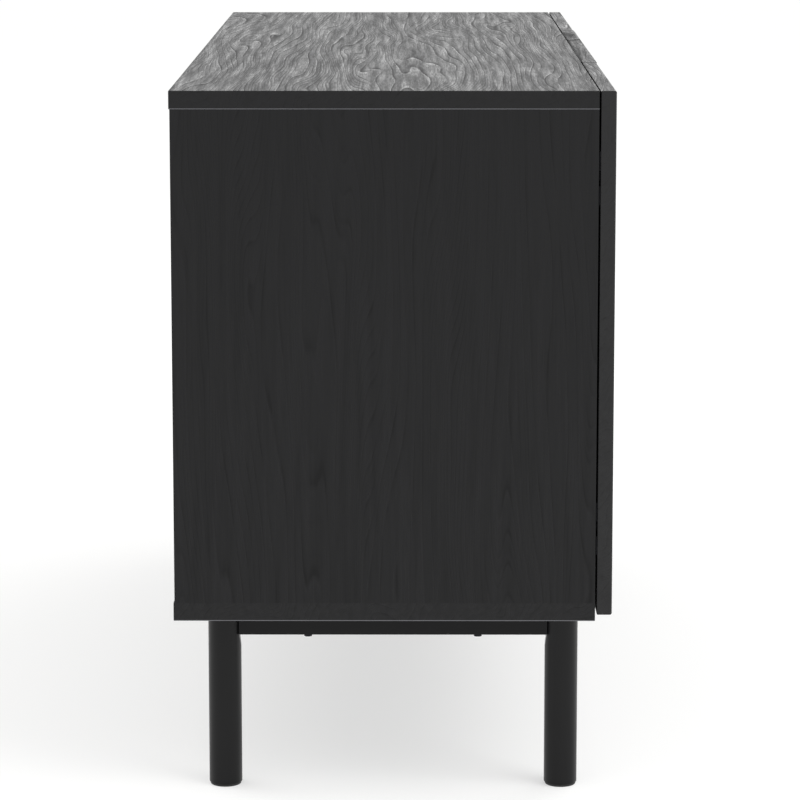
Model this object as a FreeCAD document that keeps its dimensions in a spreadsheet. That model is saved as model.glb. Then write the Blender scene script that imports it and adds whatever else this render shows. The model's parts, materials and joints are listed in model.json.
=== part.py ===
import FreeCAD, Part  # noqa: E401  (FreeCAD has to be loaded before Part)
import os
import re

import Sketcher

# A low dresser on round legs: a board case with a door at each end and a bank of drawers between them.
# X runs along its length, the fronts face -Y, Z is up, and the origin is on the floor under its middle.

DRAWERS = (1, 2, 3)  # counted from the lowest
NEAR = 0.01  # how close an edge has to lie to a plane to count as on it

SIZES = {
    # the whole
    "overall_length": (1200, "length over the two ends"),
    "overall_depth": (430, "depth, fronts included"),
    "overall_height": (705, "floor to the top surface"),
    "leg_height": (184, "floor to the underside of the case"),
    # boards
    "board": (18, "thickness of the case boards"),
    "front_board": (15, "thickness of the doors and drawer fronts"),
    "shelf_board": (15, "thickness of the shelves"),
    "back_board": (3, "thickness of the back"),
    "drawer_board": (12, "thickness of the drawer sides and back"),
    "drawer_floor": (5, "thickness of the drawer bottoms"),
    "edge_round": (0.8, "rounding of the case boards' edges"),
    "front_round": (2, "rounding around a front's outer face"),
    "front_back_round": (1.2, "rounding around a door's inner face"),
    "side_inset": (1, "back edge of the side panels ahead of the top's"),
    "rebate_width": (8, "rebate that the back board lies in"),
    # fronts
    "front_gap": (1.5, "gap between the fronts and the case"),
    "front_raise": (6.5, "bottom of the fronts above the underside of the case"),
    "front_seam": (3, "gap between neighbouring fronts"),
    "centre_spacing": (501, "distance between the two seams beside the drawers"),
    "channel": (18, "height of the finger channel between drawer fronts"),
    "scoop_lip": (3, "thickness of a drawer front's upper lip"),
    "scoop_margin": (10, "lip end to the end of the drawer front"),
    "scoop_runout": (60, "length of the ramp at each end of the scoop"),
    "notch_depth": (16, "depth of a door's finger notch"),
    "notch_length": (120, "length of a door's finger notch"),
    "rail_height": (30, "height of the rails between the drawers"),
    # drawers
    "box_raise": (24, "drawer box above the bottom of its front"),
    "box_headroom": (19.5, "drawer box under the rail over it"),
    "box_back_gap": (61, "drawer box ahead of the back board"),
    "floor_raise": (10, "drawer bottom above the bottom of its box"),
    "groove": (5, "depth of the groove that holds a drawer bottom"),
    # drawer slides
    "slide_space": (12.7, "gap between a drawer box and the divider"),
    "slide_setback": (2, "front end of the slides behind the case's front edge"),
    "slide_steel": (1.2, "sheet that the slides are rolled from"),
    "slide_outer_half": (22.5, "half the height of the outer member"),
    "slide_inner_half": (17, "half the height of the inner member"),
    "slide_flange_gap": (3.2, "outer member's flanges short of the drawer box"),
    "slide_web_gap": (2.3, "inner member's flanges short of the outer web"),
    "cage_steel": (0.96, "sheet of the ball cage"),
    "cage_half": (19.75, "half the height of the ball cage"),
    "cage_inset": (0.7, "cage's web clear of the outer web"),
    "cage_flange_gap": (4.2, "cage's flanges short of the drawer box"),
    "cage_length": (210, "length of the ball cage"),
    "cage_end": (5, "ball cage ahead of the slides' back end"),
    # legs
    "leg_radius": (16.5, "radius of a leg"),
    "leg_end_inset": (50, "leg's surface in from the end of the case"),
    "leg_face_inset": (30, "leg's surface in from the front and the back"),
    "leg_flat": (2, "depth of the flat that a leg rail butts against"),
    "leg_flat_runout": (13.5, "length over which the flat runs out"),
    "leg_rail_height": (28, "height of a leg rail"),
    "leg_rail_board": (20, "thickness of a leg rail"),
    "glide_radius": (15.5, "radius of a glide"),
    "glide_height": (3, "height of a glide"),
    "rail_screw_spacing": (170, "distance between a leg rail's screws"),
    "rail_screw_radius": (2.25, "radius of a rail screw"),
    "rail_screw_head": (4, "radius of a rail screw's head"),
    "rail_screw_proud": (3.5, "height of a rail screw's head"),
    "screw_bite": (13, "depth that screws and bolts reach into the bottom panel"),
    "leg_bolt_radius": (4, "radius of a leg's bolt"),
    "leg_bolt_depth": (40, "depth that a leg's bolt reaches into the leg"),
    "dowel_radius": (4, "radius of a leg rail's dowels"),
    "dowel_reach": (9, "depth that a dowel reaches into the rail and the leg"),
    # hinges
    "hinge_end": (5.5, "hinge pin in from the door's end"),
    "hinge_floor": (3, "hinge pin above the bottom of its cup"),
    "hinge_spacing": (85, "hinge's middle in from the door's top and bottom"),
    "door_skin": (3.5, "board left under a hinge cup"),
    "cup_radius": (17.5, "radius of a hinge cup"),
    "cup_offset": (14.5, "middle of the cup from the hinge pin"),
    "cup_steel": (0.8, "sheet of the cup and its flange"),
    "pin_radius": (0.8, "radius of a hinge pin"),
    "ear_radius": (1.5, "radius of the arm's eye"),
    "flange_front": (14.9, "cup's flange from the cup's middle to its edge near the door's end"),
    "flange_half": (26, "half the height of a cup's flange"),
    "nose_half": (4, "half the width of the arm's nose"),
    "nose_steel": (2, "thickness of the arm's nose"),
    "crank_gap": (1.5, "arm's crank past the middle of the cup"),
    "crank_steel": (3, "thickness of the arm's crank"),
    "arm_setback": (3, "arm's body behind the case's front edge"),
    "arm_length": (52.5, "length of the arm's body"),
    "arm_half": (6, "half the width of the arm's body"),
    "plate_steel": (3, "thickness of the hinge's plate on the side panel"),
    "plate_half": (23, "half the height of the hinge's plate"),
    "plate_length": (33.5, "length of the hinge's plate"),
    "plate_inset": (1.5, "hinge's plate in from the back end of the arm"),
    # small fittings
    "fit": (0.1, "clearance around a fitting in its bore"),
    "overcut": (1, "tool past the wood that it cuts"),
    "cam_radius": (7.5, "radius of a cam lock"),
    "cam_depth": (12.5, "height of a cam lock"),
    "cam_distance": (34, "cam's middle from the joint it pulls tight"),
    "cam_bolt_radius": (3, "radius of a cam's bolt"),
    "cam_bolt_bite": (11, "depth that a cam's bolt reaches into the other board"),
    "cam_edge": (60, "cams in from the front and back edges"),
    "drawer_cam_depth": (9, "height of a drawer's cam lock"),
    "drawer_cam_edge": (9, "drawer's cams clear of its bottom and of the top of its box"),
    "drawer_bolt_bite": (9, "depth that a drawer's cam bolt reaches into its front"),
    "pin_hole_radius": (2.5, "radius of a shelf pin"),
    "pin_hole_depth": (9, "depth of a shelf pin's hole"),
    "pin_reach": (8, "length of a shelf pin outside its hole"),
    "pin_step": (32, "distance between shelf pin holes"),
    "pin_edge": (55, "shelf pins in from a shelf's front and back"),
    "shelf_setback": (20, "front of a shelf behind the case's front edge"),
    "shelf_play": (1, "gap between a shelf and the boards around it"),
    "magnet_width": (14, "width of a catch magnet"),
    "magnet_depth": (22, "depth of a catch magnet"),
    "magnet_height": (40, "height of a catch magnet"),
    "magnet_drop": (14, "catch magnet under the top panel"),
    "strike_steel": (1, "thickness of a strike plate"),
}

# Lines and planes that several pieces share, as expressions of the sizes.
END = "(overall_length / 2)"
FRONT_FACE = "(-overall_depth / 2)"
FRONT_BACK = f"({FRONT_FACE} + front_board)"
CASE_FRONT = f"({FRONT_BACK} + front_gap)"
TOP_BACK = "(overall_depth / 2)"
SIDE_BACK = f"({TOP_BACK} - side_inset)"
BACK_BOARD_FRONT = f"({SIDE_BACK} - back_board)"
FLOOR = "(leg_height + board)"
CEILING = "(overall_height - board)"
SIDE_INNER = f"({END} - board)"
DIVIDER_INNER = "(centre_spacing / 2 - board / 2)"
DIVIDER_OUTER = "(centre_spacing / 2 + board / 2)"
FRONTS_BOTTOM = "(leg_height + front_raise)"
FRONTS_HEIGHT = f"(overall_height - {FRONTS_BOTTOM})"
DRAWER_PITCH = f"(({FRONTS_HEIGHT} + channel) / {len(DRAWERS)})"
DRAWER_FRONT_HEIGHT = f"({DRAWER_PITCH} - channel)"
DRAWER_FRONT_HALF = "(centre_spacing / 2 - front_seam / 2)"
BOX_HALF = f"({DIVIDER_INNER} - slide_space)"
BOX_HEIGHT = f"({DRAWER_PITCH} - channel / 2 - rail_height / 2 - box_raise - box_headroom)"
BOX_LENGTH = f"({BACK_BOARD_FRONT} - {FRONT_BACK} - box_back_gap)"
BOX_TOP = f"(box_raise + {BOX_HEIGHT})"
BOX_END = f"(front_board + {BOX_LENGTH})"
BOX_FLOOR = "(box_raise + floor_raise)"
SLIDE_LEVEL = f"(box_raise + {BOX_HEIGHT} / 2)"
SLIDE_LENGTH = f"({BOX_LENGTH} - slide_setback)"
SLIDE_START = "(front_board + front_gap + slide_setback)"
DOOR_EDGE = "(centre_spacing / 2 + front_seam / 2)"
CUP_DEPTH = "(front_board - door_skin)"
PIN_X = f"({END} - hinge_end)"
PIN_Y = f"({FRONT_BACK} - {CUP_DEPTH} + hinge_floor)"
LEG_X = f"({END} - leg_end_inset - leg_radius)"
LEG_Y = f"({TOP_BACK} - leg_face_inset - leg_radius)"
RAIL_END = f"({LEG_Y} - leg_radius + leg_flat)"
SHELF_LEVEL = f"(({FLOOR} + {CEILING}) / 2)"
AXES = {"x": FreeCAD.Vector(1, 0, 0), "y": FreeCAD.Vector(0, 1, 0), "z": FreeCAD.Vector(0, 0, 1)}

doc = FreeCAD.newDocument("dresser")
sheet = doc.addObject("Spreadsheet::Sheet", "dims")
for row, (alias, (size, note)) in enumerate(SIZES.items(), start=1):
    sheet.set(f"A{row}", note)
    sheet.set(f"B{row}", str(size))
    sheet.setAlias(f"B{row}", alias)
doc.recompute()


def bound(text):
    """The expression with each plain name pointing at its cell of the sheet."""
    return re.sub(r"[a-z][a-z_]{2,}", lambda word: f"dims.{word.group()}", str(text))


def number(text):
    """The value of an expression now."""
    return float(sheet.evalExpression(bound(text)))


def place(piece, x="0", y="0", z="0"):
    """Ties the piece's position to three expressions."""
    for axis, text in (("x", x), ("y", y), ("z", z)):
        piece.setExpression(f"Placement.Base.{axis}", bound(text))


def block(label, x, y, z):
    """A plain rectangular piece between the low and the high end given for each axis."""
    piece = doc.addObject("Part::Box", label)
    for side, (low, high) in zip(("Length", "Width", "Height"), (x, y, z)):
        piece.setExpression(side, bound(f"({high}) - ({low})"))
    place(piece, x[0], y[0], z[0])
    return piece


def rod(label, radius, length, x, y, z, axis="z"):
    """A cylinder that starts at the given point and runs along an axis, or along "-x" and so on."""
    piece = doc.addObject("Part::Cylinder", label)
    piece.setExpression("Radius", bound(radius))
    piece.setExpression("Height", bound(length))
    along = AXES[axis[-1]] * (-1 if axis.startswith("-") else 1)
    piece.Placement.Rotation = FreeCAD.Rotation(AXES["z"], along)
    place(piece, x, y, z)
    return piece


def group(label, pieces):
    """Several separate solids under one name."""
    piece = doc.addObject("Part::Compound", label)
    piece.Links = pieces
    return piece


def joined(label, pieces):
    """One solid made from several that touch."""
    piece = doc.addObject("Part::MultiFuse", label)
    piece.Shapes = pieces
    piece.Refine = True
    return piece


def cut(label, blank, tools):
    """The blank without the space of the tools."""
    piece = doc.addObject("Part::Cut", label)
    piece.Base = blank
    piece.Tool = group(f"{label}_tools", tools)
    return piece


def mirrored(source, label):
    """The same piece at the other end of the object."""
    piece = doc.addObject("Part::Mirroring", label)
    piece.Source = source
    piece.Normal = AXES["x"]
    return piece


def outline(body, role, points):
    """A closed outline on one of the body's own planes, each corner tied to its two expressions."""
    sketch = body.newObject("Sketcher::SketchObject", f"{body.Name}_sketch")
    plane = next(item for item in body.Origin.OriginFeatures if item.Role == role)
    sketch.AttachmentSupport = (plane, [""])
    sketch.MapMode = "FlatFace"
    corners = [FreeCAD.Vector(number(u), number(v), 0) for u, v in points]
    for here, ahead in zip(corners, corners[1:] + corners[:1]):
        sketch.addGeometry(Part.LineSegment(here, ahead))
    for index, corner in enumerate(points):
        ahead = (index + 1) % len(points)
        sketch.addConstraint(Sketcher.Constraint("Coincident", index, 2, ahead, 1))
        for kind, text in zip(("DistanceX", "DistanceY"), corner):
            tie = Sketcher.Constraint(kind, -1, 1, index, 1, number(text))
            sketch.setExpression(f"Constraints[{sketch.addConstraint(tie)}]", bound(text))
    return sketch


def padded(label, role, points, length, middle=False, flip=False):
    """A body made by padding one outline."""
    body = doc.addObject("PartDesign::Body", label)
    pad = body.newObject("PartDesign::Pad", f"{label}_pad")
    pad.Profile = outline(body, role, points)
    pad.setExpression("Length", bound(length))
    pad.Midplane = middle
    pad.Reversed = flip
    doc.recompute()
    return body


def pocket(body, role, points, length):
    """Cuts an outline through the body, the given length in all, half to each side of its plane."""
    feature = body.newObject("PartDesign::Pocket", f"{body.Name}_pocket")
    feature.Profile = outline(body, role, points)
    feature.Midplane = True
    feature.setExpression("Length", bound(length))
    doc.recompute()


def rounded(body, radius, wanted):
    """Rounds the edges of the body's last feature whose middle point the test accepts."""
    base = body.Tip
    edges = [
        f"Edge{index}"
        for index, edge in enumerate(base.Shape.Edges, start=1)
        if wanted(edge.BoundBox)
    ]
    fillet = body.newObject("PartDesign::Fillet", f"{body.Name}_round")
    fillet.Base = (base, edges)
    fillet.setExpression("Radius", bound(radius))
    doc.recompute()


def runs_up(box):
    """Whether an edge with this box runs upwards."""
    return box.ZLength > NEAR


def lies_low(box):
    """Whether an edge with this box reaches the underside of its board."""
    return box.ZMin < NEAR


def any_edge(box):
    """Accepts every edge."""
    return box.isValid()


def case_board(label, x, y, z, eased):
    """A case board between the two ends given for each axis, with the accepted edges eased."""
    spans = [f"({high}) - ({low})" for low, high in (x, y, z)]
    points = [("0", "0"), (spans[0], "0"), (spans[0], spans[1]), ("0", spans[1])]
    body = padded(label, "XY_Plane", points, spans[2])
    rounded(body, "edge_round", eased)
    place(body, x[0], y[0], z[0])
    return body


# --- Case -------------------------------------------------------------------------------------------

PANEL_DEPTHS = {"front": f"({CASE_FRONT} + cam_edge)", "back": f"({BACK_BOARD_FRONT} - cam_edge)"}
SHELF_DEPTHS = {
    "front": f"({CASE_FRONT} + shelf_setback + pin_edge)",
    "back": f"({BACK_BOARD_FRONT} - pin_edge)",
}
LEVELS = {"low": (FLOOR, "+"), "high": (CEILING, "-")}


def cam_tools(name, face, away):
    """Bores for the cams in an upright at the left and for their bolts, and the fittings to match.

    face is the side of the board that the cams are let into, and away points out of that side.
    """
    into = "-x" if away == "+" else "x"
    middle = f"({face} {'-' if away == '+' else '+'} board / 2)"
    way_in = "cam_bolt_radius + fit"
    length = "cam_bolt_bite + cam_distance"
    bores, locks, bolts = [], [], []
    for end, (joint, inwards) in LEVELS.items():
        level = f"({joint} {inwards} cam_distance)"
        for side, depth in PANEL_DEPTHS.items():
            tag = f"{name}_{end}_{side}"
            bores.append(rod(f"{tag}_cam_bore", "cam_radius + fit", "cam_depth", face, depth, level, into))
            lock = rod(f"{tag}_cam", "cam_radius", "cam_depth - fit", face, depth, level, into)
            way = "z" if inwards == "+" else "-z"
            start = f"({joint} {'-' if inwards == '+' else '+'} cam_bolt_bite)"
            bores.append(rod(f"{tag}_bolt_bore", way_in, length, middle, depth, start, way))
            bolt = rod(f"{tag}_bolt", "cam_bolt_radius", length, middle, depth, start, way)
            locks.append(cut(f"{tag}_lock", lock, [bores[-1]]))
            bolts.append(bolt)
    return bores, locks, bolts


def shelf_holes(name, face, into):
    """Three shelf pin holes in a column, near the front and near the back of an upright."""
    holes = []
    for side, depth in SHELF_DEPTHS.items():
        for step in (-1, 0, 1):
            level = f"({SHELF_LEVEL} - pin_hole_radius + {step} * pin_step)"
            tag = f"{name}_hole_{side}_{step + 1}"
            holes.append(rod(tag, "pin_hole_radius + fit", "pin_hole_depth", face, depth, level, into))
    return holes


def shelf_pins(name, face, into, back):
    """The two pins that carry a shelf at this face."""
    pins = []
    for side, depth in SHELF_DEPTHS.items():
        start = f"({face} {back} pin_reach)"
        length = "pin_reach + pin_hole_depth - fit"
        level = f"({SHELF_LEVEL} - pin_hole_radius)"
        pins.append(rod(f"{name}_pin_{side}", "pin_hole_radius", length, start, depth, level, into))
    return pins


side_cams, side_locks, side_bolts = cam_tools("side", f"(-{SIDE_INNER})", "+")
divider_cams, divider_locks, divider_bolts = cam_tools("divider", f"(-{DIVIDER_OUTER})", "-")
left_cams = side_cams + divider_cams
right_cams = [mirrored(tool, f"right_{tool.Name}") for tool in left_cams]

upright = (FLOOR, CEILING)
side_blank = case_board(
    "side_blank",
    (f"-{END}", f"-{SIDE_INNER}"),
    (CASE_FRONT, SIDE_BACK),
    upright,
    runs_up,
)
side_rebate = block(
    "side_rebate",
    (f"-({SIDE_INNER} + rebate_width)", f"-{SIDE_INNER}"),
    (BACK_BOARD_FRONT, TOP_BACK),
    upright,
)
side_holes = shelf_holes("side", f"(-{SIDE_INNER})", "-x")
left_side = cut("left_side_panel", side_blank, side_cams + side_holes + [side_rebate])

divider_blank = case_board(
    "divider_blank",
    (f"-{DIVIDER_OUTER}", f"-{DIVIDER_INNER}"),
    (CASE_FRONT, BACK_BOARD_FRONT),
    upright,
    runs_up,
)
divider_holes = shelf_holes("divider", f"(-{DIVIDER_OUTER})", "x")
left_divider = cut("left_divider", divider_blank, divider_cams + divider_holes)

whole = (f"-{END}", END)
rebate = (f"-({SIDE_INNER} + rebate_width)", f"{SIDE_INNER} + rebate_width")
top_blank = case_board(
    "top_blank", whole, (CASE_FRONT, TOP_BACK), (CEILING, "overall_height"), any_edge
)
top_rebate = block(
    "top_rebate", rebate, (BACK_BOARD_FRONT, TOP_BACK), (CEILING, f"{CEILING} + rebate_width")
)
top_panel = cut("top_panel", top_blank, left_cams + right_cams + [top_rebate])

left_shelf = block(
    "left_shelf",
    (f"-({SIDE_INNER} - shelf_play)", f"-({DIVIDER_OUTER} + shelf_play)"),
    (f"{CASE_FRONT} + shelf_setback", f"{BACK_BOARD_FRONT} - shelf_play"),
    (SHELF_LEVEL, f"{SHELF_LEVEL} + shelf_board"),
)
left_pins = shelf_pins("side", f"-{SIDE_INNER}", "-x", "+")
left_pins += shelf_pins("divider", f"-{DIVIDER_OUTER}", "x", "-")

back_panel = block(
    "back_panel",
    (f"-({SIDE_INNER} + rebate_width - fit)", f"{SIDE_INNER} + rebate_width - fit"),
    (BACK_BOARD_FRONT, SIDE_BACK),
    (f"{FLOOR} - rebate_width + fit", f"{CEILING} + rebate_width - fit"),
)


def drawer_rail(label, below):
    """A rail between the dividers, behind the finger channel over the drawer below it."""
    middle = f"({FRONTS_BOTTOM} + {below} * {DRAWER_PITCH} - channel / 2)"
    return block(
        label,
        (f"-{DIVIDER_INNER}", DIVIDER_INNER),
        (CASE_FRONT, f"{CASE_FRONT} + board"),
        (f"{middle} - rail_height / 2", f"{middle} + rail_height / 2"),
    )


rails = [drawer_rail("lower_drawer_rail", 1), drawer_rail("upper_drawer_rail", 2)]

# --- Legs -------------------------------------------------------------------------------------------


def leg_piece(label, way):
    """A round leg at the left with a flat where its rail butts. way is -1 at the front, 1 at the back."""
    top = "(leg_height - glide_height)"
    turned = rod(f"{label}_round", "leg_radius", top, f"-{LEG_X}", f"{way} * {LEG_Y}", "glide_height")
    flat = "(leg_radius - leg_flat)"
    past = "(leg_radius + overcut)"
    points = [
        (flat, "leg_rail_height"),
        (flat, "0"),
        (past, "0"),
        (past, "leg_rail_height + leg_flat_runout * (leg_flat + overcut) / leg_flat"),
    ]
    hollow = padded(f"{label}_flat", "YZ_Plane", points, "2 * leg_radius + 2 * overcut", middle=True)
    hollow.Placement.Rotation = FreeCAD.Rotation(AXES["y"], 180)
    if way > 0:
        hollow.Placement.Rotation = FreeCAD.Rotation(AXES["x"], 180)
    place(hollow, f"-{LEG_X}", f"{way} * {LEG_Y}", "leg_height")
    return turned, hollow


def standing_rods(name, radius, start, length, spots):
    """Cylinders standing at several x, y places."""
    return [
        rod(f"{name}_{index}", radius, length, x, y, start)
        for index, (x, y) in enumerate(spots, start=1)
    ]


def level_rods(name, radius):
    """The dowels between the left leg rail and its two legs."""
    rods = []
    for side, way in (("front", "-"), ("back", "+")):
        for share in (1, 2):
            level = f"(leg_height - {share} * leg_rail_height / 3)"
            start = f"({way}1 * {RAIL_END} - dowel_reach)"
            tag = f"{name}_{side}_{share}"
            rods.append(rod(tag, radius, "2 * dowel_reach", f"-{LEG_X}", start, level, "y"))
    return rods


LEFT_LEGS = [(f"-{LEG_X}", f"-{LEG_Y}"), (f"-{LEG_X}", LEG_Y)]
LEFT_SCREWS = [(f"-{LEG_X}", f"{way} * rail_screw_spacing / 2") for way in (-1, 1)]
bolt_start = "(leg_height - leg_bolt_depth)"
bolt_length = "leg_bolt_depth + screw_bite"
screw_start = "(leg_height - leg_rail_height)"
screw_length = "leg_rail_height + screw_bite"
leg_bores = standing_rods("leg_bore", "leg_bolt_radius + fit", bolt_start, bolt_length, LEFT_LEGS)
left_bolts = standing_rods("leg_bolt", "leg_bolt_radius", bolt_start, bolt_length, LEFT_LEGS)
screw_bores = standing_rods("screw_bore", "rail_screw_radius + fit", screw_start, screw_length, LEFT_SCREWS)
screw_shanks = standing_rods("screw_shank", "rail_screw_radius", screw_start, screw_length, LEFT_SCREWS)
screw_heads = standing_rods(
    "screw_head", "rail_screw_head", f"{screw_start} - rail_screw_proud", "rail_screw_proud", LEFT_SCREWS
)
left_screws = [
    joined(f"rail_screw_{index}", list(parts))
    for index, parts in enumerate(zip(screw_shanks, screw_heads), start=1)
]
dowel_bores = level_rods("dowel_bore", "dowel_radius + fit")
left_dowels = level_rods("rail_dowel", "dowel_radius")

legs = []
for label, way in (("front_left_leg", -1), ("back_left_leg", 1)):
    turned, flat_tool = leg_piece(label, way)
    legs.append(cut(label, turned, [flat_tool] + leg_bores + dowel_bores))

rail_blank = block(
    "leg_rail_blank",
    (f"-({LEG_X} + leg_rail_board / 2)", f"-({LEG_X} - leg_rail_board / 2)"),
    (f"-{RAIL_END}", RAIL_END),
    ("leg_height - leg_rail_height", "leg_height"),
)
left_leg_rail = cut("left_leg_rail", rail_blank, screw_bores + dowel_bores)
left_glides = standing_rods("glide", "glide_radius", "0", "glide_height", LEFT_LEGS)

bottom_blank = case_board(
    "bottom_blank", whole, (CASE_FRONT, TOP_BACK), ("leg_height", FLOOR), lies_low
)
bottom_rebate = block(
    "bottom_rebate", rebate, (BACK_BOARD_FRONT, TOP_BACK), (f"{FLOOR} - rebate_width", FLOOR)
)
underneath = leg_bores + screw_bores
underneath += [mirrored(tool, f"right_{tool.Name}") for tool in underneath]
bottom_panel = cut("bottom_panel", bottom_blank, left_cams + right_cams + underneath + [bottom_rebate])

# --- Doors ------------------------------------------------------------------------------------------

HINGE_LEVELS = {
    "low": f"({FRONTS_BOTTOM} + hinge_spacing)",
    "high": "(overall_height - hinge_spacing)",
}
PIN_AT = f"(-{PIN_X})"
CUP_AT = f"({PIN_AT} + cup_offset)"


def door_piece():
    """The left door: a slab with a finger notch in its inner edge, bored for the hinge cups."""
    height = FRONTS_HEIGHT
    width = f"({END} - {DOOR_EDGE})"
    points = [("0", "0"), (width, "0"), (width, height), ("0", height)]
    body = padded("door_slab", "XZ_Plane", points, "front_board", flip=True)
    low, high = f"({height} / 2 - notch_length / 2)", f"({height} / 2 + notch_length / 2)"
    inner, past = f"({width} - notch_depth)", f"({width} + overcut)"
    slant = "(notch_depth / 2)"
    points = [
        (inner, f"{low} + {slant}"),
        (f"{inner} + {slant}", low),
        (past, low),
        (past, high),
        (f"{inner} + {slant}", high),
        (inner, f"{high} - {slant}"),
    ]
    pocket(body, "XZ_Plane", points, "2 * front_board + 2 * overcut")
    thick = number("front_board")
    rounded(body, "front_back_round", lambda box: box.YMin > thick - NEAR)
    rounded(body, "front_round", lambda box: box.YMax < NEAR)
    place(body, f"-{END}", FRONT_FACE, FRONTS_BOTTOM)
    bores = [
        rod(f"cup_bore_{end}", "cup_radius + fit", CUP_DEPTH, CUP_AT, FRONT_BACK, level, "-y")
        for end, level in HINGE_LEVELS.items()
    ]
    return cut("left_door", body, bores)


def hinge_cup(end, level, pin):
    """A pressed cup with a flange that lies on the back of the door."""
    shell = rod(f"cup_shell_{end}", "cup_radius", CUP_DEPTH, CUP_AT, FRONT_BACK, level, "-y")
    flange = block(
        f"cup_flange_{end}",
        (f"{CUP_AT} - flange_front", f"{CUP_AT} + cup_radius"),
        (FRONT_BACK, f"{FRONT_BACK} + cup_steel"),
        (f"{level} - flange_half", f"{level} + flange_half"),
    )
    start = f"{FRONT_BACK} + 2 * cup_steel"
    depth = f"{CUP_DEPTH} + cup_steel"
    hollow = rod(f"cup_hollow_{end}", "cup_radius - cup_steel", depth, CUP_AT, start, level, "-y")
    return cut(f"hinge_cup_{end}", joined(f"cup_blank_{end}", [shell, flange]), [hollow, pin])


def hinge_pin(end, level):
    """The pin that the door turns on, across its cup."""
    reach = "(cup_radius / 2)"
    return rod(f"hinge_pin_{end}", "pin_radius", f"2 * {reach}", PIN_AT, PIN_Y, f"{level} - {reach}")


def hinge_arm(end, level):
    """A plate and arm on the side panel, with a cranked nose that reaches the pin inside the cup."""
    tag = f"arm_{end}"
    nose = (f"{level} - nose_half", f"{level} + nose_half")
    ear_low = f"({PIN_Y} - ear_radius)"
    ear_high = f"({ear_low} + nose_steel)"
    crank_in = f"({CUP_AT} + crank_gap)"
    crank_out = f"({crank_in} + crank_steel)"
    arm_start = f"({CASE_FRONT} + arm_setback)"
    arm_end = f"({arm_start} + arm_length)"
    plate_face = f"(-{SIDE_INNER} + plate_steel)"
    pieces = [
        rod(f"{tag}_eye", "ear_radius", "2 * nose_half", PIN_AT, PIN_Y, nose[0]),
        block(f"{tag}_nose", (PIN_AT, crank_out), (ear_low, ear_high), nose),
        block(f"{tag}_crank", (crank_in, crank_out), (ear_low, arm_end), nose),
        block(
            f"{tag}_body",
            (plate_face, crank_out),
            (arm_start, arm_end),
            (f"{level} - arm_half", f"{level} + arm_half"),
        ),
        block(
            f"{tag}_plate",
            (f"-{SIDE_INNER}", plate_face),
            (f"{arm_end} - plate_inset - plate_length", f"{arm_end} - plate_inset"),
            (f"{level} - plate_half", f"{level} + plate_half"),
        ),
    ]
    bore = rod(
        f"{tag}_bore", "pin_radius + fit / 2", "4 * nose_half", PIN_AT, PIN_Y, f"{level} - 2 * nose_half"
    )
    return cut(f"hinge_arm_{end}", joined(f"{tag}_blank", pieces), [bore])


left_door = door_piece()
hinge_pins = [hinge_pin(end, level) for end, level in HINGE_LEVELS.items()]
hinge_cups = [hinge_cup(end, level, pin) for (end, level), pin in zip(HINGE_LEVELS.items(), hinge_pins)]
hinge_arms = [hinge_arm(end, level) for end, level in HINGE_LEVELS.items()]

MAGNET_X = (f"-({DIVIDER_OUTER} + magnet_width)", f"-{DIVIDER_OUTER}")
MAGNET_Z = (f"{CEILING} - magnet_drop - magnet_height", f"{CEILING} - magnet_drop")
left_magnet = block("left_magnet", MAGNET_X, (CASE_FRONT, f"{CASE_FRONT} + magnet_depth"), MAGNET_Z)
left_strike = block("left_strike_plate", MAGNET_X, (FRONT_BACK, f"{FRONT_BACK} + strike_steel"), MAGNET_Z)

# --- Drawers ----------------------------------------------------------------------------------------


def drawer_front(bores, floor_groove):
    """A drawer front whose upper edge is scooped out behind a lip, to be pulled from above."""
    half, height = DRAWER_FRONT_HALF, DRAWER_FRONT_HEIGHT
    points = [(f"-{half}", "0"), (half, "0"), (half, height), (f"-{half}", height)]
    body = padded("front_slab", "XZ_Plane", points, "front_board", flip=True)
    top = number(height)
    rounded(body, "front_round", lambda box: box.YMax < NEAR and box.ZMax < top - NEAR)
    scoop = body.newObject("PartDesign::Pocket", "scoop")
    run = f"({half} - scoop_margin - scoop_runout)"
    low, high = f"({height} + scoop_lip)", f"({height} + scoop_lip + front_board)"
    wide = f"({half} - scoop_margin)"
    points = [(f"-{run}", low), (run, low), (wide, high), (f"-{wide}", high)]
    scoop.Profile = outline(body, "XZ_Plane", points)
    scoop.UseCustomVector = True
    scoop.Direction = FreeCAD.Vector(0, 1, -1)
    scoop.setExpression("Length", bound("3 * front_board"))
    doc.recompute()
    return cut("front_bored", body, bores + [floor_groove])


def channel(label, sides, steel, half, start, length):
    """A rolled channel at the left of a drawer, running back from start, in the drawer's own frame.

    sides are the outer face of its web and the tips of its flanges, and steel is its sheet.
    """
    web, tip = sides
    inner = f"({web} {'+' if number(tip) > number(web) else '-'} {steel})"
    low, high = f"({SLIDE_LEVEL} - {half})", f"({SLIDE_LEVEL} + {half})"
    points = [
        (web, low),
        (tip, low),
        (tip, f"{low} + slide_steel"),
        (inner, f"{low} + slide_steel"),
        (inner, f"{high} - slide_steel"),
        (tip, f"{high} - slide_steel"),
        (tip, high),
        (web, high),
    ]
    body = padded(label, "XZ_Plane", points, length, flip=True)
    place(body, y=start)
    return body


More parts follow.
